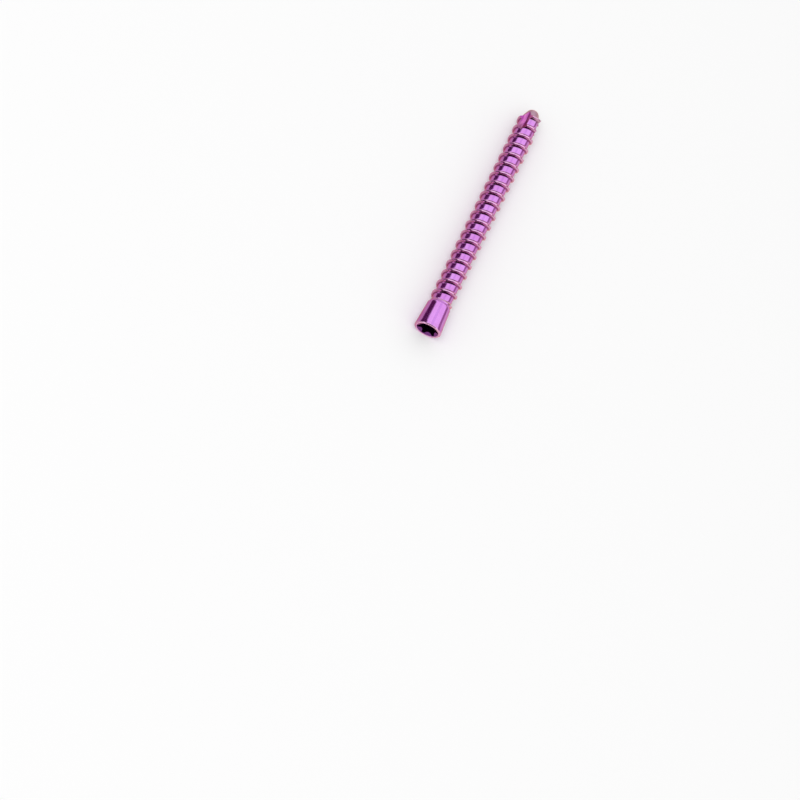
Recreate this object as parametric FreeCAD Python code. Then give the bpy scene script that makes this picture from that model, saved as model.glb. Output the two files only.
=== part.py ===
"""A bone screw, turned from one bar and lying on its side. Millimetres, +Z up.

The screw is drawn about its own axis, with the end of its nose at the start and the
head's end face at overall_length, and is then laid down with the nose towards +Y.
"""
import FreeCAD
import Part

import math
import os

Vector = FreeCAD.Vector

# lengths along the axis
overall_length = 55.0
head_length = 6.1
full_thread_from_nose = 1.95

# shank and thread
core_diameter = 4.0
thread_diameter = 5.0
thread_pitch = 2.44
crest_width = 0.18
# each side of the ridge is a flank from the crest down and a bevel at its root. The angles lean
# from the radial line: widely on the nose's side, and narrowly on the head's, which bears the load
leading_flank_angle = 35.0
leading_bevel_angle = 62.0
trailing_flank_angle = 5.0
trailing_bevel_angle = 45.0
root_bevel_height = 0.22
# how far the ridge's foot dips under the core, and how far its base is buried
root_overlap = 0.02
root_burial = 0.8
lead_in_angle = 60.0
run_out_angle = 45.0
# where around the axis the crest would start, from +X, at the end of the nose
thread_start_angle = 40.5

# nose
nose_radius = 1.4
nose_taper_angle = 21.0

# cutting flutes
flute_count = 3
flute_floor_radius = 1.45
flute_opening_angle = 130.0
flute_root_radius = 0.2
flute_straight_length = 3.5
# the flute then rises out of the screw along the rim of the wheel that ground it
flute_wheel_radius = 7.0
flute_wheel_turn = 60.0
first_flute_angle = 107.1
# where the screw stops rolling: its underside, as an angle from the middle of the second flute
underside_from_flute = 21.0

# how far a cutter reaches beyond what it cuts
cutter_reach = 2.0

# head
head_end_diameter = 5.62
head_taper_angle = 4.0
shoulder_angle = 45.0
rim_chamfer = 0.12

# six-lobed socket
socket_outer_diameter = 4.5
socket_inner_diameter = 3.25
socket_lobe_radius = 0.39
socket_depth = 2.8
socket_point_angle = 120.0
socket_lobes = 6
entry_width = 0.08
entry_angle = 60.0

# worked out from the sizes above
core_radius = core_diameter / 2
thread_radius = thread_diameter / 2
head_end_radius = head_end_diameter / 2
shoulder_start = overall_length - head_length
shoulder_rise = math.tan(math.radians(shoulder_angle))
head_slope = math.tan(math.radians(head_taper_angle))


def revolved(edges):
    """Turn a closed outline, drawn in the XZ plane, once around the axis."""
    return Part.Face(Part.Wire(edges)).revolve(Vector(), Vector(0, 0, 1), 360)


def joined(corners):
    """Straight edges from each corner to the next."""
    return [Part.makeLine(start, end) for start, end in zip(corners, corners[1:])]


def polygon(points):
    """Edges of a closed outline from (radius, height) pairs."""
    corners = [Vector(radius, 0, height) for radius, height in points]
    return joined(corners + corners[:1])


def head_radius_at(height):
    """Radius of the head's long taper at a height along the axis."""
    return head_end_radius - (overall_length - height) * head_slope


def shoulder_end():
    """Height at which the shoulder, rising from the core, meets the head's taper."""
    gap = head_radius_at(shoulder_start) - core_radius
    return shoulder_start + gap / (shoulder_rise - head_slope)


def core():
    """The domed nose, its taper and the round core, reaching into the head."""
    taper = math.radians(nose_taper_angle)
    nose_centre = Vector(0, 0, nose_radius)
    dome_turn = (math.pi / 2 - taper) / 2
    dome_middle = nose_centre + Vector(math.sin(dome_turn), 0, -math.cos(dome_turn)) * nose_radius
    dome_end = nose_centre + Vector(math.cos(taper), 0, -math.sin(taper)) * nose_radius
    core_start = dome_end.z + (core_radius - dome_end.x) / math.tan(taper)
    inside_head = (shoulder_end() + overall_length) / 2
    edges = joined([
        dome_end,
        Vector(core_radius, 0, core_start),
        Vector(core_radius, 0, inside_head),
        Vector(0, 0, inside_head),
        Vector(),
    ])
    edges.append(Part.Arc(Vector(), dome_middle, dome_end).toShape())
    bar = revolved(edges)
    # the line where the turned surface closes lies in the first flute, clear of the thread's ends
    bar.rotate(Vector(), Vector(0, 0, 1), first_flute_angle)
    return bar


def head():
    """The shoulder and the head's long taper, with its rim chamfered."""
    rim_start = overall_length - rim_chamfer
    return revolved(polygon([
        (0, shoulder_start),
        (core_radius, shoulder_start),
        (head_radius_at(shoulder_end()), shoulder_end()),
        (head_radius_at(rim_start), rim_start),
        (head_end_radius - rim_chamfer, overall_length),
        (0, overall_length),
    ]))


def ridge_side(side, flank_angle, bevel_angle):
    """Corners down one side of the ridge: the crest's edge, its flank's end and its foot.

    side is +1 towards the head and -1 towards the nose. Both angles lean from the radial line.
    """
    bevel_top = core_radius + root_bevel_height
    foot = core_radius - root_overlap
    flank_spread = (thread_radius - bevel_top) * math.tan(math.radians(flank_angle))
    bevel_spread = (bevel_top - foot) * math.tan(math.radians(bevel_angle))
    crest_edge = crest_width / 2
    return [
        (thread_radius, side * crest_edge),
        (bevel_top, side * (crest_edge + flank_spread)),
        (foot, side * (crest_edge + flank_spread + bevel_spread)),
    ]


def ridge_section():
    """Outline of the thread's ridge beside the axis, with its base buried in the core."""
    leading = ridge_side(-1, leading_flank_angle, leading_bevel_angle)
    trailing = ridge_side(1, trailing_flank_angle, trailing_bevel_angle)
    base_radius = core_radius - root_burial
    base = [(base_radius, trailing[-1][1]), (base_radius, leading[-1][1])]
    return Part.Wire(polygon(trailing + base + leading[::-1]))


def thread_ridge():
    """The ridge of the thread, swept along its helix and chamfered at the nose."""
    sweep_start = -thread_pitch
    sweep_end = shoulder_start + thread_pitch
    helix = Part.makeHelix(thread_pitch, sweep_end - sweep_start, thread_radius)
    sweep = Part.BRepOffsetAPI.MakePipeShell(Part.Wire(helix.Edges))
    sweep.setBiNormalMode(Vector(0, 0, 1))
    sweep.add(ridge_section())
    sweep.build()
    sweep.makeSolid()
    ridge = sweep.shape()
    ridge.rotate(Vector(), Vector(0, 0, 1), thread_start_angle + 360 * sweep_start / thread_pitch)
    ridge.translate(Vector(0, 0, sweep_start))

    return ridge.common(thread_envelope())


def thread_envelope():
    """The space that the thread keeps to: chamfered towards the nose and run out at the shoulder."""
    clear_radius = thread_radius + cutter_reach
    lead_in = 1 / math.tan(math.radians(lead_in_angle))
    run_out = 1 / math.tan(math.radians(run_out_angle))
    return revolved(polygon([
        (0, full_thread_from_nose - thread_radius * lead_in),
        (clear_radius, full_thread_from_nose + cutter_reach * lead_in),
        (clear_radius, shoulder_start - cutter_reach * run_out),
        (0, shoulder_start + thread_radius * run_out),
    ]))


def flute_cutter():
    """The space that one cutting flute takes, opening towards +X.

    It is a wide V with a rounded root, straight from beyond the nose and then
    lifted out of the screw along the rim of the grinding wheel.
    """
    half_opening = math.radians(flute_opening_angle / 2)
    wall_slope = 1 / math.tan(half_opening)
    mouth_radius = thread_radius + cutter_reach
    root_centre = flute_floor_radius + flute_root_radius
    root_turn = math.pi / 2 - half_opening
    foot_y = flute_root_radius * math.sin(root_turn)
    foot_x = root_centre - flute_root_radius * math.cos(root_turn)
    mouth_y = foot_y + (mouth_radius - foot_x) / wall_slope
    floor = Vector(flute_floor_radius, 0, flute_straight_length)
    feet = [Vector(foot_x, side * foot_y, flute_straight_length) for side in (-1, 1)]
    mouths = [Vector(mouth_radius, side * mouth_y, flute_straight_length) for side in (-1, 1)]
    section = Part.Face(Part.Wire([
        Part.makeLine(mouths[0], feet[0]),
        Part.Arc(feet[0], floor, feet[1]).toShape(),
        Part.makeLine(feet[1], mouths[1]),
        Part.makeLine(mouths[1], mouths[0]),
    ]))
    straight = section.extrude(Vector(0, 0, -flute_straight_length - cutter_reach))
    wheel_axis = Vector(flute_floor_radius + flute_wheel_radius, 0, flute_straight_length)
    run_out = section.revolve(wheel_axis, Vector(0, -1, 0), -flute_wheel_turn)
    return straight.fuse(run_out)


def socket_cutter():
    """The six-lobed socket with its entry chamfer and drilled point."""
    lobe_centre = socket_outer_diameter / 2 - socket_lobe_radius
    half_pitch = math.pi / socket_lobes
    outer, inner, lobe = socket_outer_diameter / 2, socket_inner_diameter / 2, socket_lobe_radius
    cosine = math.cos(half_pitch)
    # radius of the ridges between the lobes, tangent to both neighbours
    ridge = (outer ** 2 + inner ** 2 - 2 * outer * lobe - 2 * cosine * inner * (outer - lobe)) \
        / (2 * (lobe - inner + cosine * (outer - lobe)))
    ridge_centre = inner + ridge

    def around(radius, turn):
        return Vector(radius * math.cos(turn), radius * math.sin(turn), 0)

    def tangent_point(lobe_turn, ridge_turn):
        start = around(lobe_centre, lobe_turn)
        along = around(ridge_centre, ridge_turn) - start
        return start + along * (lobe / (lobe + ridge))

    edges = []
    for number in range(socket_lobes):
        turn = 2 * half_pitch * number
        entering = tangent_point(turn, turn - half_pitch)
        leaving = tangent_point(turn, turn + half_pitch)
        following = tangent_point(turn + 2 * half_pitch, turn + half_pitch)
        edges.append(Part.Arc(entering, around(outer, turn), leaving).toShape())
        edges.append(Part.Arc(leaving, around(inner, turn + half_pitch), following).toShape())
    section = Part.Face(Part.Wire(edges))
    section.translate(Vector(0, 0, overall_length - socket_depth))
    walls = section.extrude(Vector(0, 0, socket_depth + cutter_reach))
    point_depth = inner / math.tan(math.radians(socket_point_angle / 2))
    point = revolved(polygon([
        (0, overall_length - socket_depth - point_depth),
        (inner, overall_length - socket_depth),
        (0, overall_length - socket_depth),
    ]))
    entry_radius = outer + entry_width
    entry_depth = entry_radius / math.tan(math.radians(entry_angle))
    entry = revolved(polygon([
        (0, overall_length - entry_depth),
        (entry_radius, overall_length),
        (entry_radius, overall_length + cutter_reach),
        (0, overall_length + cutter_reach),
    ]))
    return walls.fuse([point, entry])


def bone_screw():
    """The finished screw about its own axis."""
    screw = core().fuse(thread_ridge()).fuse(head())
    for number in range(flute_count):
        flute = flute_cutter()
        flute.rotate(Vector(), Vector(0, 0, 1), first_flute_angle + 360 * number / flute_count)
        screw = screw.cut(flute)
    screw = screw.cut(socket_cutter())
    return screw.removeSplitter()


def flute_wall_radius(height, turn):
    """Radius of a flute's wall at a height and at an angle away from the flute's middle."""
    run = min(max(height - flute_straight_length, 0), flute_wheel_radius)
    floor = flute_floor_radius + flute_wheel_radius - math.sqrt(flute_wheel_radius ** 2 - run ** 2)
    wall_slope = 1 / math.tan(math.radians(flute_opening_angle / 2))
    return floor / (math.cos(turn) - math.sin(turn) * wall_slope)


def resting_edge_height(underside_angle):
    """Height of the crest's edge where the thread first passes whole under the screw."""
    height = (underside_angle - thread_start_angle) / 360 * thread_pitch - crest_width / 2
    while flute_wall_radius(height, math.radians(underside_from_flute)) < thread_radius:
        height += thread_pitch
    return height


def laid_down(screw):
    """Lay the screw on its side as it stops rolling, with one side of a flute below.

    It rests on the head's rim and on the first whole crest behind that side.
    """
    underside_angle = first_flute_angle + 360 / flute_count + underside_from_flute
    edge_height = resting_edge_height(underside_angle)
    rim_height = overall_length - rim_chamfer
    rim_radius = head_radius_at(rim_height)
    tilt = math.atan((rim_radius - thread_radius) / (rim_height - edge_height))
    axis_lift = rim_radius * math.cos(tilt) - rim_height * math.sin(tilt)
    laid = screw.copy()
    laid.rotate(Vector(), Vector(0, 0, 1), 270 - underside_angle)
    laid.rotate(Vector(), Vector(1, 0, 0), 90 - math.degrees(tilt))
    laid.translate(Vector(0, overall_length / 2 * math.cos(tilt), axis_lift))
    return laid


os.makedirs("parts", exist_ok=True)
finished = laid_down(bone_screw())
finished.exportStep("parts/bone_screw.step")
bounds = finished.optimalBoundingBox(True, False)
print("solids", len(finished.Solids), "valid", finished.isValid(), "volume", round(finished.Volume, 2))
print("length", round(bounds.YLength, 3), "width", round(bounds.XLength, 3))
print("lowest point", round(bounds.ZMin, 4))
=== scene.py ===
import math

import bmesh
import bpy
import numpy as np
from mathutils import Matrix, Vector


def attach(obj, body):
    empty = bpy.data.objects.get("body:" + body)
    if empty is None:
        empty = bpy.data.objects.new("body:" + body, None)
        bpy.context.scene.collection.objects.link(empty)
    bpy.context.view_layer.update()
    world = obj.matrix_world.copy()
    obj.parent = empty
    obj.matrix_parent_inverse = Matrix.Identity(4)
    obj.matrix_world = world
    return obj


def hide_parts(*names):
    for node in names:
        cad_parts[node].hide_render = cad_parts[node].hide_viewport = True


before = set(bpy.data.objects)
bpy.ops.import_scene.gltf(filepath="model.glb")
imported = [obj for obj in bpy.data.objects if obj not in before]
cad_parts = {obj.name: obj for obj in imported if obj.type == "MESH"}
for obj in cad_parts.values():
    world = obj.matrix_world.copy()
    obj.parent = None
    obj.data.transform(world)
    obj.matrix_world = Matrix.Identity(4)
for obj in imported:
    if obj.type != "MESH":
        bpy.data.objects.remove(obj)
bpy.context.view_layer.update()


def hexColour(text):  # "#rrggbb" in sRGB, as linear RGBA
    parts = [int(text[i:i + 2], 16) / 255 for i in (1, 3, 5)]
    linear = [p / 12.92 if p <= 0.04045 else ((p + 0.055) / 1.055) ** 2.4 for p in parts]
    return linear + [1.0]


def newMaterial(name):
    material = bpy.data.materials.new(name)
    material.use_nodes = True
    material.node_tree.nodes.clear()
    return material, material.node_tree


def add(tree, kind, inputs=None, **settings):  # one node, its sockets given a value or a link
    node = tree.nodes.new(kind)
    for key, value in settings.items():
        setattr(node, key, value)
    for key, value in (inputs or {}).items():
        socket = node.inputs[key]
        if isinstance(value, bpy.types.NodeSocket):
            tree.links.new(value, socket)
        else:
            socket.default_value = value
    return node


def arc(start, end, count):  # angles from start to end in degrees, as radians
    return np.radians(np.linspace(start, end, count))


def slopeOf(degrees):
    return math.tan(math.radians(degrees))


# The camera stands on the head's side and looks down on the screw.
view = {
    "place": (-0.06334, -0.21128, 0.40387),  # metres
    "aim": (0.00398, -0.03616, -0.01425),
    "roll": 48.94,  # degrees
    "lens": 102.3,  # mm
    "picture": 36.0,  # mm, the picture's width behind that lens
}


def makeCamera():
    data = bpy.data.cameras.new("camera")
    data.lens = view["lens"]
    data.sensor_width = view["picture"]
    data.clip_start = 0.01
    camera = bpy.data.objects.new("camera", data)
    bpy.context.scene.collection.objects.link(camera)
    place, aim = Vector(view["place"]), Vector(view["aim"])
    level = (aim - place).to_track_quat("-Z", "Y").to_matrix()
    turn = Matrix.Rotation(math.radians(view["roll"]), 3, "Z")
    camera.matrix_world = Matrix.Translation(place) @ (level @ turn).to_4x4()
    bpy.context.scene.camera = camera


makeCamera()
print("camera placed")

# The screw's sizes in millimetres and degrees; heights are measured from the end of its nose.
# They are the CAD source's own, apart from the thread's curved sides and its crest, the way it
# fades at the shoulder, and the soft corners of the shoulder and the rim.
screw = {
    "length": 55.0, "coreRadius": 2.0,
    "threadRadius": 2.5, "pitch": 2.44, "startAngle": 40.5,
    "crestWidth": 0.28, "crestShift": 0.04, "crestRounding": 0.04,
    "leadingLean": 21.0, "leadingRoot": 0.59,  # the flank towards the nose, its root's radius
    "trailingLean": 5.0, "trailingRoot": 0.48,  # the flank towards the head
    "paintedRootShade": (0.0, 0.03, 0.16, 0.3),  # heights in the trailing root: painted shade from, full, to, none
    "paintedRootShadeFade": 0.6,  # turns before the shoulder over which that painted shade ends
    "leadIn": 60.0, "fullThread": 1.95,  # the cone over the first turn, and where it ends
    "runOut": 1.0, "runOutPast": 0.25,  # length of the fade, and its end behind the shoulder's foot
    "noseRadius": 1.4, "noseTaper": 21.0,
    "headLength": 6.1, "headRadius": 2.81, "headTaper": 4.0,
    "shoulderFillet": 0.6, "shoulderRound": 0.25,  # soft foot and soft edge of the shoulder
    "rimChamfer": 0.12, "rimSoftness": 0.03,
    "noseRing": 1.3,  # where the domed nose meets the threaded skin
    "headRing": 0.4,  # how far behind the shoulder's edge the threaded skin meets the head
    "columns": 96,  # facets around the axis
    "coreRows": 15,  # rows of points on the core in each pitch
    "fluteAngle": 107.1, "fluteCount": 3, "fluteFloor": 1.45, "fluteOpening": 130.0,
    "fluteRoot": 0.2, "fluteStraight": 3.5, "fluteWheel": 7.0, "fluteTurn": 60.0,
    "socketOuter": 2.25, "socketInner": 1.625, "socketLobe": 0.39, "socketLobes": 6,
    "socketDepth": 2.8, "socketPoint": 120.0, "entryWidth": 0.08, "entryAngle": 60.0,
    "beyond": 2.0,  # how far a cutter reaches past the metal
    "underside": 248.1,  # the angle around the axis that lies lowest
    "tilt": 0.354964, "lift": 2.46156,  # how the axis dips, and its height at the nose's end
    "sharpAngle": 32.0,  # edges that bend by more stay sharp
}


# Height of the thread over the core along one pitch, from the crest's middle. Each side is an
# arc of the root's radius up to the flank's lean, the straight flank, an arc of the crest's
# rounding and the flat crest, and the core fills the rest. With it comes the share of painted
# shade in each point, which darkens the trailing root.
def threadSection():
    height = screw["threadRadius"] - screw["coreRadius"]
    rounding = screw["crestRounding"]

    def side(lean, root, count):
        steep = 90 - lean
        rootTurn, crestTurn = arc(0, steep, count), arc(steep, 0, 4)
        along, up = root * np.sin(rootTurn), root * (1 - np.cos(rootTurn))
        crestAlong = rounding * (math.sin(crestTurn[0]) - np.sin(crestTurn))
        crestUp = height - rounding * (1 - np.cos(crestTurn))
        flank = (crestUp[0] - up[-1]) / slopeOf(steep)
        x = np.concatenate([along, along[-1] + flank + crestAlong])
        y = np.concatenate([up, crestUp])
        # the side ends at the crest's flat, which gives up half of the rounding
        return x - x[-1] - screw["crestWidth"] / 2 + rounding * 0.5, y

    leadX, leadY = side(screw["leadingLean"], screw["leadingRoot"], 8)
    trailX, trailY = side(screw["trailingLean"], screw["trailingRoot"], 6)
    trailX, trailY = -trailX[::-1], trailY[::-1]
    coreX = np.linspace(trailX[-1], leadX[0] + screw["pitch"], screw["coreRows"] + 2)[1:-1]
    x = np.concatenate([leadX, trailX, coreX])
    y = np.concatenate([leadY, trailY, np.zeros(len(coreX))])
    # painted shade: the share of the dark root colour at each point of the trailing root
    filmAndPaintedShade = np.interp(trailY, screw["paintedRootShade"], [0.0, 1.0, 1.0, 0.0])
    return x + screw["crestShift"], y, np.concatenate([0 * leadY, filmAndPaintedShade, 0 * coreX])


def headRadiusAt(z):
    return screw["headRadius"] - (screw["length"] - z) * slopeOf(screw["headTaper"])


def shoulderPlaces():  # the heights of the 45 degree shoulder's foot and edge
    foot = screw["length"] - screw["headLength"]
    rise = headRadiusAt(foot) - screw["coreRadius"]
    return foot, foot + rise / (1 - slopeOf(screw["headTaper"]))


# Radius without the thread: a dome, a cone, the core, the 45 degree shoulder and the head's
# cone. The core and the shoulder are joined by a soft maximum, and the shoulder and the head by
# a soft minimum: where the two differ by less than the blend, the square of what is left of it,
# as a share, rounds the corner.
def bodyRadius(z):
    taper = math.radians(screw["noseTaper"])
    r = screw["noseRadius"]
    domeEnd = r * (1 - math.sin(taper))
    dome = np.sqrt(np.clip(r ** 2 - (r - z) ** 2, 0, None))
    cone = r * math.cos(taper) + (z - domeEnd) * math.tan(taper)
    nose = np.where(z < domeEnd, dome, np.minimum(cone, screw["coreRadius"]))
    foot = shoulderPlaces()[0]
    shoulder = screw["coreRadius"] + (z - foot)
    blend = screw["shoulderFillet"]
    near = np.clip((blend - np.abs(shoulder - nose)) / blend, 0, None)
    filled = np.maximum(nose, shoulder) + near ** 2 * blend / 4
    head = headRadiusAt(np.maximum(z, foot))
    blend = screw["shoulderRound"]
    near = np.clip((blend - np.abs(head - filled)) / blend, 0, None)
    return np.minimum(filled, head) - near ** 2 * blend / 4


# Points of the thread on a lattice that climbs with the helix. Column i stands at the angle
# start + 360 i / columns, and its rows lie one section's points apart along the axis, so that
# the end of a column is the start of the one a turn further on. The radius is the body's plus
# the section's height, scaled to keep the crest at its radius, faded out before the shoulder
# and kept under the lead-in cone at the nose.
def threadedSkin():
    x, y, filmAndPaintedShade = threadSection()
    columns, pitch = screw["columns"], screw["pitch"]
    foot, edge = shoulderPlaces()
    bottom, top = screw["noseRing"], edge + screw["headRing"]
    first = math.floor((bottom - pitch) / pitch * columns) - columns
    last = math.ceil((top + pitch) / pitch * columns) + columns
    i = np.arange(first, last)
    z = pitch * i[:, None] / columns + x[None, :]
    angle = np.radians(screw["startAngle"]) + 2 * np.pi * i[:, None] / columns + 0 * z
    inside = np.clip(z, bottom, top)
    body = bodyRadius(inside)
    height = screw["threadRadius"] - screw["coreRadius"]
    fade = np.clip((foot + screw["runOutPast"] - inside) / screw["runOut"], 0, 1)
    fade = fade * fade * (3 - 2 * fade)
    ridge = body + y[None, :] / height * np.clip(screw["threadRadius"] - body, 0, None) * fade
    leadIn = (inside - screw["fullThread"]) * slopeOf(screw["leadIn"]) + screw["threadRadius"]
    radius = np.maximum(body, np.minimum(ridge, leadIn))
    points = np.stack([radius * np.cos(angle), radius * np.sin(angle), inside], -1)

    index = np.arange(radius.size).reshape(radius.shape)
    faces = np.stack([index[:-1, :-1], index[1:, :-1], index[1:, 1:], index[:-1, 1:]], -1)
    # the last row of a column joins the first row of the column a turn further on
    n = len(i) - columns - 1
    seam = np.stack([index[:n, -1], index[1:n + 1, -1],
                     index[columns + 1:columns + 1 + n, 0], index[columns:columns + n, 0]], -1)

    onRidge = ridge > body + 0.005  # mm
    # the painted shade in the trailing root, kept to the ridge and ended before the shoulder
    rootShadeEnd = np.clip((foot - inside) / (screw["paintedRootShadeFade"] * pitch), 0, 1)
    filmAndPaintedShade = (filmAndPaintedShade[None, :] * onRidge * rootShadeEnd).ravel()
    return points.reshape(-1, 3), np.concatenate([faces.reshape(-1, 4), seam]), filmAndPaintedShade


def ringFaces(index):  # quads between the rows of a grid that closes around its columns
    nextColumn = np.roll(index, -1, axis=1)
    faces = np.stack([index[:-1], nextColumn[:-1], nextColumn[1:], index[1:]], -1)
    return faces.reshape(-1, 4)


# Points of a turned surface: each (radius, height) of the outline taken once around.
def turnedSkin(outline):
    columns = screw["columns"]
    angle = np.radians(screw["startAngle"]) + 2 * np.pi * np.arange(columns) / columns
    r, z = outline[:, 0, None], outline[:, 1, None] + 0 * angle
    points = np.stack([r * np.cos(angle), r * np.sin(angle), z], -1)
    return points.reshape(-1, 3), ringFaces(np.arange(z.size).reshape(z.shape))


def noseOutline():  # close rows at the tip and at the ring, by the square of a sine
    z = screw["noseRing"] * np.sin(arc(0, 90, 16)) ** 2
    z[-1] = screw["noseRing"]
    return np.stack([bodyRadius(z), z], -1)


def headOutline():  # the cone, the chamfered rim with both corners cut off, and the flat end
    length, chamfer, soft = screw["length"], screw["rimChamfer"], screw["rimSoftness"]
    z = np.linspace(shoulderPlaces()[1] + screw["headRing"], length - chamfer, 9)[:-1]
    cone = np.stack([headRadiusAt(z), z], -1)
    cone[0, 0] = bodyRadius(z[:1])[0]
    rim = headRadiusAt(length - chamfer)
    corners = [(rim, length - chamfer - soft), (rim - soft * 0.3, length - chamfer + soft * 0.7),
               (rim - chamfer + soft * 0.7, length - soft * 0.3), (rim - chamfer - soft, length)]
    end = [(r, length) for r in (2.5, 2.0, 1.0, 0.0)]
    return np.concatenate([cone, corners, end])


# A closed V with a rounded root, carried straight past the nose and out along a wheel's rim.
# Across: the V's two walls and the arc between them. Along: heights, then turns of the wheel.
def fluteCutter(angle):
    half = math.radians(screw["fluteOpening"] / 2)
    floor, root, wheel = screw["fluteFloor"], screw["fluteRoot"], screw["fluteWheel"]
    straight, beyond = screw["fluteStraight"], screw["beyond"]
    mouth = screw["threadRadius"] + beyond
    rootTurn = np.linspace(half - math.pi / 2, math.pi / 2 - half, 9)
    x = floor + root - root * np.cos(rootTurn)
    y = root * np.sin(rootTurn)
    reach = y[-1] + (mouth - x[-1]) * math.tan(half)
    x = np.concatenate([[mouth], x, [mouth]])
    y = np.concatenate([[-reach], y, [reach]])
    wheelTurn = arc(0, screw["fluteTurn"], 49)[1:, None]
    rim = floor + wheel - x[None, :]  # from the wheel's axis to each point of the V
    gridX = np.concatenate([[x], [x], floor + wheel - rim * np.cos(wheelTurn)])
    gridZ = np.concatenate([[0 * x - beyond], [0 * x + straight],
                            straight + rim * np.sin(wheelTurn)])
    gridY = y[None, :] + 0 * gridX
    c, s = math.cos(math.radians(angle)), math.sin(math.radians(angle))
    points = np.stack([gridX * c - gridY * s, gridX * s + gridY * c, gridZ], -1)
    index = np.arange(gridX.size).reshape(gridX.shape)
    faces = ringFaces(index).tolist()
    faces.append(index[0][::-1].tolist())
    faces.append(index[-1].tolist())
    return points.reshape(-1, 3), faces


# The six-lobed outline: arcs of the lobes and the arcs between them. The radius of the arcs
# between comes from the two circles touching: the distance of their centres is the sum of
# their radii.
def socketOutline():
    outer, inner, lobe = screw["socketOuter"], screw["socketInner"], screw["socketLobe"]
    step = 2 * math.pi / screw["socketLobes"]
    halfStep = np.array([math.cos(step / 2), math.sin(step / 2)])
    across = halfStep[0] * (outer - lobe)
    ridge = (outer ** 2 + inner ** 2 - 2 * outer * lobe - 2 * inner * across) \
        / (2 * (lobe - inner + across))
    lobeCentre = np.array([outer - lobe, 0])
    ridgeCentre = (inner + ridge) * halfStep
    towards = ridgeCentre - lobeCentre
    lobeTurn = math.atan2(towards[1], towards[0])
    back = math.atan2(-towards[1], -towards[0]) % (2 * math.pi)
    middle = step / 2 + math.pi
    a = np.linspace(-lobeTurn, lobeTurn, 11)[:-1]
    b = np.linspace(back, 2 * middle - back, 11)[:-1]
    part = np.concatenate([lobeCentre + lobe * np.stack([np.cos(a), np.sin(a)], -1),
                           ridgeCentre + ridge * np.stack([np.cos(b), np.sin(b)], -1)])
    turn = step * np.arange(screw["socketLobes"])[:, None]
    x = part[:, 0] * np.cos(turn) - part[:, 1] * np.sin(turn)
    y = part[:, 0] * np.sin(turn) + part[:, 1] * np.cos(turn)
    return np.stack([x.ravel(), y.ravel()], -1)


# The socket as rows of its outline: the drilled point, the floor, the walls and the entry cone.
def socketCutter():
    outline = socketOutline()
    wall = np.hypot(outline[:, 0], outline[:, 1])
    unit = outline / wall[:, None]
    length, inner = screw["length"], screw["socketInner"]
    floor = length - screw["socketDepth"]
    point = floor - inner / slopeOf(screw["socketPoint"] / 2)
    entry = screw["socketOuter"] + screw["entryWidth"]
    meets = length - (entry - wall) / slopeOf(screw["entryAngle"])
    past = length + screw["beyond"]
    same = np.ones_like(wall)
    radii = np.stack([0 * same, 0.99 * inner * same, wall, wall,
                      entry * same, entry * same, 0 * same])
    heights = np.stack([point * same, floor * same, floor * same, meets,
                        length * same, past * same, past * same])
    points = np.concatenate([radii[..., None] * unit[None], heights[..., None]], -1)
    return points.reshape(-1, 3), ringFaces(np.arange(radii.size).reshape(radii.shape))


# One mesh of several grids, their meeting points merged and their faces turned outwards. Each
# part is its points, its faces, the number that its faces carry as the attribute "tool", and
# the share of painted shade that its points carry as the attribute "root".
def closedMesh(name, parts):
    points, faces, tools, rootShades, count = [], [], [], [], 0
    for partPoints, partFaces, tool, filmAndPaintedShade in parts:
        points.append(partPoints)
        rootShades.append(filmAndPaintedShade + np.zeros(len(partPoints)))
        faces.extend([[count + k for k in face] for face in partFaces])
        tools.extend([tool] * len(partFaces))
        count += len(partPoints)
    mesh = bpy.data.meshes.new(name)
    mesh.from_pydata(np.concatenate(points).tolist(), [], faces)
    mesh.attributes.new("tool", "FLOAT", "FACE").data.foreach_set("value", tools)
    mesh.attributes.new("root", "FLOAT", "POINT").data.foreach_set("value", np.concatenate(rootShades))
    work = bmesh.new()
    work.from_mesh(mesh)
    bmesh.ops.remove_doubles(work, verts=work.verts, dist=2e-4)  # mm here
    loose = [v for v in work.verts if not v.link_faces]
    bmesh.ops.delete(work, geom=loose, context="VERTS")
    bmesh.ops.recalc_face_normals(work, faces=work.faces)
    openEdges = sum(1 for e in work.edges if len(e.link_faces) != 2)
    work.to_mesh(mesh)
    work.free()
    print(name, "vertices", len(mesh.vertices), "open edges", openEdges)
    return mesh


# The screw's own frame in millimetres, turned and laid on the floor, in metres.
def laidDown(p):
    a = math.radians(270 - screw["underside"])
    b = math.radians(90 - screw["tilt"])
    x = p[:, 0] * math.cos(a) - p[:, 1] * math.sin(a)
    y = p[:, 0] * math.sin(a) + p[:, 1] * math.cos(a)
    z = p[:, 2]
    halfLength = screw["length"] / 2 * math.cos(math.radians(screw["tilt"]))
    forward = y * math.cos(b) - z * math.sin(b) + halfLength
    up = y * math.sin(b) + z * math.cos(b) + screw["lift"]
    return np.stack([x, forward, up], -1) / 1000


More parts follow.
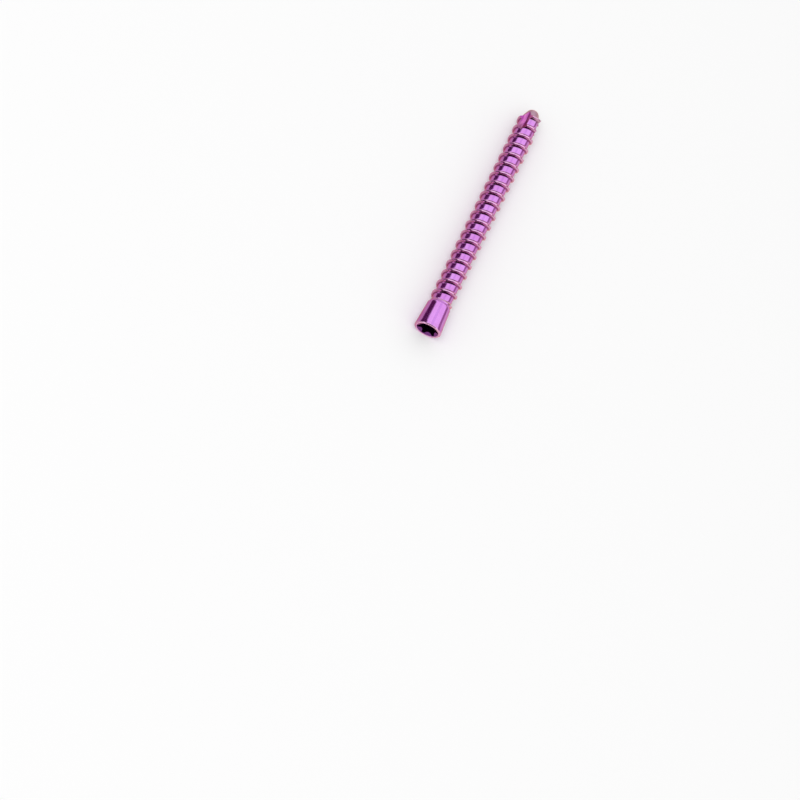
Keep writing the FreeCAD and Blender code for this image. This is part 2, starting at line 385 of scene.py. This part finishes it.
def makeScrew():
    # with the thread come the shares of painted shade in its trailing root
    threadPoints, threadFaces, filmAndPaintedShade = threadedSkin()
    skin = closedMesh("boneScrewSkin", [
        (threadPoints, threadFaces.tolist(), 0.0, filmAndPaintedShade),
        (*turnedSkin(noseOutline()), 0.0, 0.0),
        (*turnedSkin(headOutline()), 0.0, 0.0)])
    fluteAngles = screw["fluteAngle"] + 360 / screw["fluteCount"] * np.arange(screw["fluteCount"])
    cutters = closedMesh("boneScrewCutters", [
        *[(*fluteCutter(angle), 1.0, 0.0) for angle in fluteAngles],
        (*socketCutter(), 2.0, 0.0)])
    piece = bpy.data.objects.new("boneScrewLooks", skin)
    tool = bpy.data.objects.new("cutters", cutters)
    for o in (piece, tool):
        bpy.context.scene.collection.objects.link(o)
    cut = piece.modifiers.new("cut", "BOOLEAN")
    cut.operation = "DIFFERENCE"
    cut.solver = "MANIFOLD"
    cut.object = tool
    evaluated = piece.evaluated_get(bpy.context.evaluated_depsgraph_get())
    done = bpy.data.meshes.new_from_object(evaluated)
    piece.modifiers.clear()
    bpy.data.objects.remove(tool)
    points = np.zeros(len(done.vertices) * 3)
    done.vertices.foreach_get("co", points)
    done.vertices.foreach_set("co", laidDown(points.reshape(-1, 3)).ravel())
    done.update()
    done.shade_smooth()
    done.set_sharp_from_angle(angle=math.radians(screw["sharpAngle"]))
    piece.data = done
    tools = np.zeros(len(done.polygons))
    done.attributes["tool"].data.foreach_get("value", tools)
    print("screw vertices", len(done.vertices), "faces", len(done.polygons),
          "of which flutes", int((tools == 1).sum()), "and socket", int((tools == 2).sum()))
    return piece


boneScrew = makeScrew()
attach(boneScrew, "root")
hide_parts("bone_screw")

finish = {
    "lilac": "#e49df5",  # the film on the core, seen straight on
    "magenta": "#d98ae2",  # where the film is a shade thinner
    "flank": "#ecb6d6",  # pinker on the thread's flanks: a thinner film, and a painted sheen for the pink the film turns at glancing angles
    "crest": "#f4baea",  # paler on the crests and the rim: a thinner, worn film, and a painted highlight along them
    "root": "#a4468c",  # painted shade: the trailing root under each crest is painted dark
    "nose": "#d4b0c4",  # paler, where the nose was ground
    "flute": "#b44cac",  # thick film on the milled flutes
    "fluteStreak": "#e080cc",
    "fluteEnd": "#a67284",  # duller where the flutes run out
    "socket": "#7c3f86",  # darker in the socket
    "edgeTint": "#ffd2c4",  # what the film turns to at a glancing angle
    "flankRadius": (2.0, 2.12),  # mm from the axis: none of the flank's colour, all of it
    "crestRadius": (2.32, 2.44),
    "threadEnd": (49.0, 48.7),  # mm from the nose's end: no thread, thread
    "rimStart": (54.75, 54.92),  # cone, rim
    "noseEnd": (3.7, 1.7),  # as the film left it, ground
    "fluteRunOut": (3.9, 6.7),  # streaked, dull
    "filmPatch": 3.0,  # mm, how far the film's shade carries
    "patchRange": (0.35, 0.75),  # the part of the pattern between lilac and magenta
    "streaksAcross": 2.2, "streaksAlong": 0.26,  # per mm, in the flutes
    "streakRange": (0.44, 0.58),
    "turningMark": 0.2,  # mm between turning marks; the real 0.02 mm is too fine to show
    "turningDepth": 0.01,  # mm
    "turningShare": 0.12,  # how much of that depth shows
    "smudge": 0.8,  # mm, the size of the cloudy places in the polish
    "smudgeRange": (0.3, 0.8),
    "roughness": (0.11, 0.2),  # where the polish is clear, and where it is cloudy
    "crestRoughness": 0.17,
    "groundRoughness": 0.3,  # on the ground nose and the milled flutes
}


# titanium alloy, turned, polished and anodised: a mirror under a clear colour film, which is
# lilac on the flats and paler pink at the crests, partly as a thinner film and partly as a painted
# highlight, with painted shade in the thread's roots and faint turning marks
def anodisedTitanium():
    material, tree = newMaterial("titanium alloy, polished and anodised")
    place = add(tree, "ShaderNodeTexCoord")
    # the axis of the screw becomes the Y axis
    dip = math.radians(screw["tilt"])
    lift = math.cos(dip) * screw["lift"] + math.sin(dip) * screw["length"] / 2
    onAxis = add(tree, "ShaderNodeMapping", {
        "Vector": place.outputs["Object"], "Location": (0, 0, -lift / 1000),
        "Rotation": (dip, 0, 0)})
    split = add(tree, "ShaderNodeSeparateXYZ", {0: onAxis.outputs[0]})
    across = add(tree, "ShaderNodeCombineXYZ", {
        "X": split.outputs["X"], "Z": split.outputs["Z"]})
    radius = add(tree, "ShaderNodeVectorMath", {0: across.outputs[0]}, operation="LENGTH")
    fromAxis = add(tree, "ShaderNodeMath", {
        0: radius.outputs["Value"], 1: 1000.0}, operation="MULTIPLY").outputs[0]
    fromNose = add(tree, "ShaderNodeMath", {
        0: split.outputs["Y"], 1: -1000.0, 2: screw["length"] / 2},
        operation="MULTIPLY_ADD").outputs[0]

    # where each part of the surface is, as shares from 0 to 1
    onThread = add(tree, "ShaderNodeMapRange", {
        "Value": fromNose,
        "From Min": finish["threadEnd"][0], "From Max": finish["threadEnd"][1]})
    high = add(tree, "ShaderNodeMapRange", {
        "Value": fromAxis,
        "From Min": finish["flankRadius"][0], "From Max": finish["flankRadius"][1]})
    flank = add(tree, "ShaderNodeMath", {
        0: high.outputs[0], 1: onThread.outputs[0]}, operation="MULTIPLY")
    highest = add(tree, "ShaderNodeMapRange", {
        "Value": fromAxis,
        "From Min": finish["crestRadius"][0], "From Max": finish["crestRadius"][1]})
    crest = add(tree, "ShaderNodeMath", {
        0: highest.outputs[0], 1: onThread.outputs[0]}, operation="MULTIPLY")
    rim = add(tree, "ShaderNodeMapRange", {
        "Value": fromNose,
        "From Min": finish["rimStart"][0], "From Max": finish["rimStart"][1]})
    edge = add(tree, "ShaderNodeMath", {
        0: crest.outputs[0], 1: rim.outputs[0]}, operation="MAXIMUM")
    ground = add(tree, "ShaderNodeMapRange", {
        "Value": fromNose,
        "From Min": finish["noseEnd"][0], "From Max": finish["noseEnd"][1]})
    # the share of painted shade in the thread's trailing root
    root = add(tree, "ShaderNodeAttribute", attribute_name="root")
    tool = add(tree, "ShaderNodeAttribute", attribute_name="tool")  # 1 in a flute, 2 in the socket
    inFlute = add(tree, "ShaderNodeMapRange", {
        "Value": tool.outputs["Fac"], "From Min": 0.4, "From Max": 0.6})
    inSocket = add(tree, "ShaderNodeMapRange", {
        "Value": tool.outputs["Fac"], "From Min": 1.4, "From Max": 1.6})

    # the film on the outside, from the core to the ground nose; painted shade in the trailing root,
    # and on the flanks, crests and rim a thinner, worn film with painted sheen and highlight
    patches = add(tree, "ShaderNodeTexNoise", {
        "Vector": place.outputs["Object"], "Scale": 1000 / finish["filmPatch"],
        "Detail": 3.0, "Roughness": 0.6})
    shade = add(tree, "ShaderNodeMapRange", {
        "Value": patches.outputs[0],
        "From Min": finish["patchRange"][0], "From Max": finish["patchRange"][1]})
    filmAndPaintedShade = add(tree, "ShaderNodeMix", {
        0: shade.outputs[0], 6: hexColour(finish["lilac"]), 7: hexColour(finish["magenta"])},
        data_type="RGBA")
    # painted sheen, together with a thinner film: the thread's flanks are painted pinker
    ridge = add(tree, "ShaderNodeMix", {
        0: flank.outputs[0], 6: filmAndPaintedShade.outputs[2], 7: hexColour(finish["flank"])}, data_type="RGBA")
    # painted shade: the trailing root is darkened towards the root colour
    shadedRoot = add(tree, "ShaderNodeMix", {
        0: root.outputs["Fac"], 6: ridge.outputs[2], 7: hexColour(finish["root"])},
        data_type="RGBA")
    # painted highlight, together with a thinner worn film: the crests and the rim are painted paler
    crestHighlight = add(tree, "ShaderNodeMix", {
        0: edge.outputs[0], 6: shadedRoot.outputs[2], 7: hexColour(finish["crest"])}, data_type="RGBA")
    outside = add(tree, "ShaderNodeMix", {
        0: ground.outputs[0], 6: crestHighlight.outputs[2], 7: hexColour(finish["nose"])}, data_type="RGBA")

    # the flutes keep streaks from the milling, drawn out along the axis, and the socket is darker
    drawn = add(tree, "ShaderNodeMapping", {
        "Vector": onAxis.outputs[0],
        "Scale": (1000 * finish["streaksAcross"], 1000 * finish["streaksAlong"],
                  1000 * finish["streaksAcross"])})
    streaks = add(tree, "ShaderNodeTexNoise", {
        "Vector": drawn.outputs[0], "Scale": 1.0, "Detail": 3.0})
    streak = add(tree, "ShaderNodeMapRange", {
        "Value": streaks.outputs[0],
        "From Min": finish["streakRange"][0], "From Max": finish["streakRange"][1]})
    streaked = add(tree, "ShaderNodeMix", {
        0: streak.outputs[0], 6: hexColour(finish["flute"]), 7: hexColour(finish["fluteStreak"])},
        data_type="RGBA")
    runOut = add(tree, "ShaderNodeMapRange", {
        "Value": fromNose,
        "From Min": finish["fluteRunOut"][0], "From Max": finish["fluteRunOut"][1]})
    milled = add(tree, "ShaderNodeMix", {
        0: runOut.outputs[0], 6: streaked.outputs[2], 7: hexColour(finish["fluteEnd"])},
        data_type="RGBA")
    cut = add(tree, "ShaderNodeMix", {
        0: inSocket.outputs[0], 6: milled.outputs[2], 7: hexColour(finish["socket"])},
        data_type="RGBA")
    colour = add(tree, "ShaderNodeMix", {
        0: inFlute.outputs[0], 6: outside.outputs[2], 7: cut.outputs[2]}, data_type="RGBA")

    # turning marks: rings that depend on the place along the axis and on the radius alone
    rings = add(tree, "ShaderNodeCombineXYZ", {
        "X": split.outputs["Y"], "Y": radius.outputs["Value"]})
    marks = add(tree, "ShaderNodeTexNoise", {
        "Vector": rings.outputs[0], "Scale": 1000 / finish["turningMark"], "Detail": 2.0})
    bump = add(tree, "ShaderNodeBump", {
        "Height": marks.outputs[0], "Strength": finish["turningShare"],
        "Distance": finish["turningDepth"] / 1000})

    # the polish, with cloudy places, duller on the worn edges and where it was ground or milled
    smudge = add(tree, "ShaderNodeTexNoise", {
        "Vector": place.outputs["Object"], "Scale": 1000 / finish["smudge"], "Detail": 4.0})
    polish = add(tree, "ShaderNodeMapRange", {
        "Value": smudge.outputs[0],
        "From Min": finish["smudgeRange"][0], "From Max": finish["smudgeRange"][1],
        "To Min": finish["roughness"][0], "To Max": finish["roughness"][1]})
    rubbed = add(tree, "ShaderNodeMath", {
        0: edge.outputs[0], 1: finish["crestRoughness"]}, operation="MULTIPLY")
    dull = add(tree, "ShaderNodeMath", {
        0: ground.outputs[0], 1: inFlute.outputs[0]}, operation="MAXIMUM")
    dull = add(tree, "ShaderNodeMath", {
        0: dull.outputs[0], 1: finish["groundRoughness"]}, operation="MULTIPLY")
    gloss = add(tree, "ShaderNodeMath", {
        0: polish.outputs[0], 1: rubbed.outputs[0]}, operation="MAXIMUM")
    gloss = add(tree, "ShaderNodeMath", {
        0: gloss.outputs[0], 1: dull.outputs[0]}, operation="MAXIMUM")
    shader = add(tree, "ShaderNodeBsdfPrincipled", {
        "Base Color": colour.outputs[2],
        "Metallic": 1.0,
        "Roughness": gloss.outputs[0],
        "Specular Tint": hexColour(finish["edgeTint"]),
        "Normal": bump.outputs[0],
    })
    add(tree, "ShaderNodeOutputMaterial", {"Surface": shader.outputs[0]})
    return material


boneScrew.data.materials.clear()
boneScrew.data.materials.append(anodisedTitanium())
print("screw finished")

studio = {
    "floor": "#fbfbfb", "floorSize": 6.0,  # metres across
    "ambient": 0.7,
    "lamp": (-0.3, -0.3, 1.35), "lampSize": 1.0, "lampPower": 7.4,  # metres, watts
    "facing": 99.0,  # degrees around the screw's axis, the side that faces the camera
    # side angle from, to around the axis; head angle from, to; distance in m; colour; the share
    # of the card that fades at its edges; how much each end leans
    "cards": [
        ("darkCardLeft", -90, -28, -60, -8, 0.55, "#52224a", 0.2, (2.5, 1.75)),
        ("darkCardHead", -58, 78, -6, 86, 0.60, "#3e2c3a", 0.12, (0, 0)),
        ("paleCardMiddle", 2, 24, -85, 25, 0.62, "#ebe7f4", 0.5, (0, 0)),
        ("pinkCardRight", 71, 105, -85, 25, 0.65, "#a07c90", 0.4, (0, 0)),
        ("greyCardNose", -95, 95, -170, -52, 0.70, "#d8d6d6", 0.1, (0, 0)),
    ],
    "leanBelow": -26,  # degrees, the head angle below which a card leans
    # from, to across the floor and height in m; colour; they show in the metal alone, as a painted
    # reflection of the floor, darker for its shade beside the screw
    "lowCards": [
        ("lowCardLeft", -0.0018, -1.2, 0.0001, "#c9b6b6"),
        ("lowCardFar", -0.026, -1.2, 0.0002, "#5a2c52"),
        ("lowCardRight", 0.0018, 1.2, 0.0001, "#dfddd5"),
    ],
    "lowCardReach": 1.2, "lowCardSoft": 0.002,
    "cardRows": 41,
}


# A grid of points as a card whose outer part, soft wide, fades to nothing.
def softCard(name, points, colour, soft):
    rows, columns = points.shape[:2]
    index = np.arange(rows * columns).reshape(rows, columns)
    faces = np.stack([index[:-1, :-1], index[1:, :-1], index[1:, 1:], index[:-1, 1:]], -1)
    mesh = bpy.data.meshes.new(name)
    mesh.from_pydata(points.reshape(-1, 3).tolist(), [], faces.reshape(-1, 4).tolist())
    u, v = np.meshgrid(np.linspace(-1, 1, rows), np.linspace(-1, 1, columns), indexing="ij")
    inside = np.minimum(1 - np.abs(u), 1 - np.abs(v)) / soft
    solid = mesh.attributes.new("solid", "FLOAT", "POINT")
    solid.data.foreach_set("value", np.clip(inside, 0, 1).ravel())
    card = bpy.data.objects.new(name, mesh)
    bpy.context.scene.collection.objects.link(card)
    material, tree = newMaterial("glowing card, seen in reflections only")  # glows with an even colour, seen in the metal alone: a painted reflection
    share = add(tree, "ShaderNodeAttribute", attribute_name="solid")
    clear = add(tree, "ShaderNodeBsdfTransparent")
    even = add(tree, "ShaderNodeEmission", {"Color": hexColour(colour), "Strength": 1.0})
    mix = add(tree, "ShaderNodeMixShader", {
        0: share.outputs["Fac"], 1: clear.outputs[0], 2: even.outputs[0]})
    add(tree, "ShaderNodeOutputMaterial", {"Surface": mix.outputs[0]})
    mesh.materials.append(material)
    card.visible_camera = False
    card.visible_diffuse = False
    card.visible_shadow = False


# A card bent to a part of a sphere, side angle by head angle, at one distance. Below the head
# angle leanBelow its side angle moves by lean degrees for each degree, from one end's lean to
# the other's.
def makeCard(name, fromSide, toSide, fromHead, toHead, distance, colour, soft, lean):
    dip, facing = math.radians(screw["tilt"]), math.radians(studio["facing"])
    sideways = np.array([1, 0, 0])
    upright = np.array([0, math.sin(dip), math.cos(dip)])
    front = math.cos(facing) * sideways + math.sin(facing) * upright
    right = math.sin(facing) * sideways - math.cos(facing) * upright
    head = np.array([0, -math.cos(dip), math.sin(dip)])
    rows = studio["cardRows"]
    side, up = np.meshgrid(arc(fromSide, toSide, rows), arc(fromHead, toHead, rows), indexing="ij")
    below = np.minimum(up - math.radians(studio["leanBelow"]), 0)
    side = (side + np.linspace(*lean, rows)[:, None] * below)[..., None]
    up = up[..., None]
    direction = (front * np.cos(side) + right * np.sin(side)) * np.cos(up) + head * np.sin(up)
    softCard(name, direction * distance, colour, soft)


# A flat card just over the floor, beside the screw, its rows closest at its start.
def makeLowCard(name, start, end, height, colour):
    rows, reach = studio["cardRows"], studio["lowCardReach"]
    x, y = np.meshgrid(start + (end - start) * np.linspace(0, 1, rows) ** 4,
                       np.linspace(-reach, reach, rows), indexing="ij")
    softCard(name, np.stack([x, y, 0 * x + height], -1), colour, studio["lowCardSoft"])


def makeFloor():
    half = studio["floorSize"] / 2
    mesh = bpy.data.meshes.new("floor")
    corners = [(-half, -half, 0), (half, -half, 0), (half, half, 0), (-half, half, 0)]
    mesh.from_pydata(corners, [], [(0, 1, 2, 3)])
    floor = bpy.data.objects.new("floor", mesh)
    bpy.context.scene.collection.objects.link(floor)
    material, tree = newMaterial("white paper, matt")  # pale, with the soft shadow and no shine
    shader = add(tree, "ShaderNodeBsdfPrincipled", {
        "Base Color": hexColour(studio["floor"]), "Roughness": 1.0, "Specular IOR Level": 0.0})
    add(tree, "ShaderNodeOutputMaterial", {"Surface": shader.outputs[0]})
    mesh.materials.append(material)


def makeWorld():  # white where it is seen or reflected, dimmer as a light
    world = bpy.data.worlds.new("studio")
    bpy.context.scene.world = world
    world.use_nodes = True
    tree = world.node_tree
    tree.nodes.clear()
    path = add(tree, "ShaderNodeLightPath")
    seen = add(tree, "ShaderNodeMath", {
        0: path.outputs["Is Camera Ray"], 1: path.outputs["Is Glossy Ray"]}, operation="MAXIMUM")
    seen = add(tree, "ShaderNodeMath", {
        0: seen.outputs[0], 1: path.outputs["Is Transmission Ray"]}, operation="MAXIMUM")
    dim = add(tree, "ShaderNodeBackground", {
        "Color": (1, 1, 1, 1), "Strength": studio["ambient"]})
    white = add(tree, "ShaderNodeBackground", {"Color": (1, 1, 1, 1), "Strength": 1.0})
    mix = add(tree, "ShaderNodeMixShader", {
        0: seen.outputs[0], 1: dim.outputs[0], 2: white.outputs[0]})
    add(tree, "ShaderNodeOutputWorld", {"Surface": mix.outputs[0]})


def makeLamp():
    data = bpy.data.lights.new("softbox", "AREA")
    data.shape = "SQUARE"
    data.size = studio["lampSize"]
    data.energy = studio["lampPower"]
    lamp = bpy.data.objects.new("softbox", data)
    lamp.location = studio["lamp"]
    lamp.rotation_euler = (-Vector(studio["lamp"])).to_track_quat("-Z", "Y").to_euler()
    lamp.visible_glossy = False
    bpy.context.scene.collection.objects.link(lamp)


for row in studio["cards"]:
    makeCard(*row)
for row in studio["lowCards"]:
    makeLowCard(*row)
makeFloor()
makeWorld()
makeLamp()
bpy.context.scene.view_settings.view_transform = "Standard"
print("studio placed")
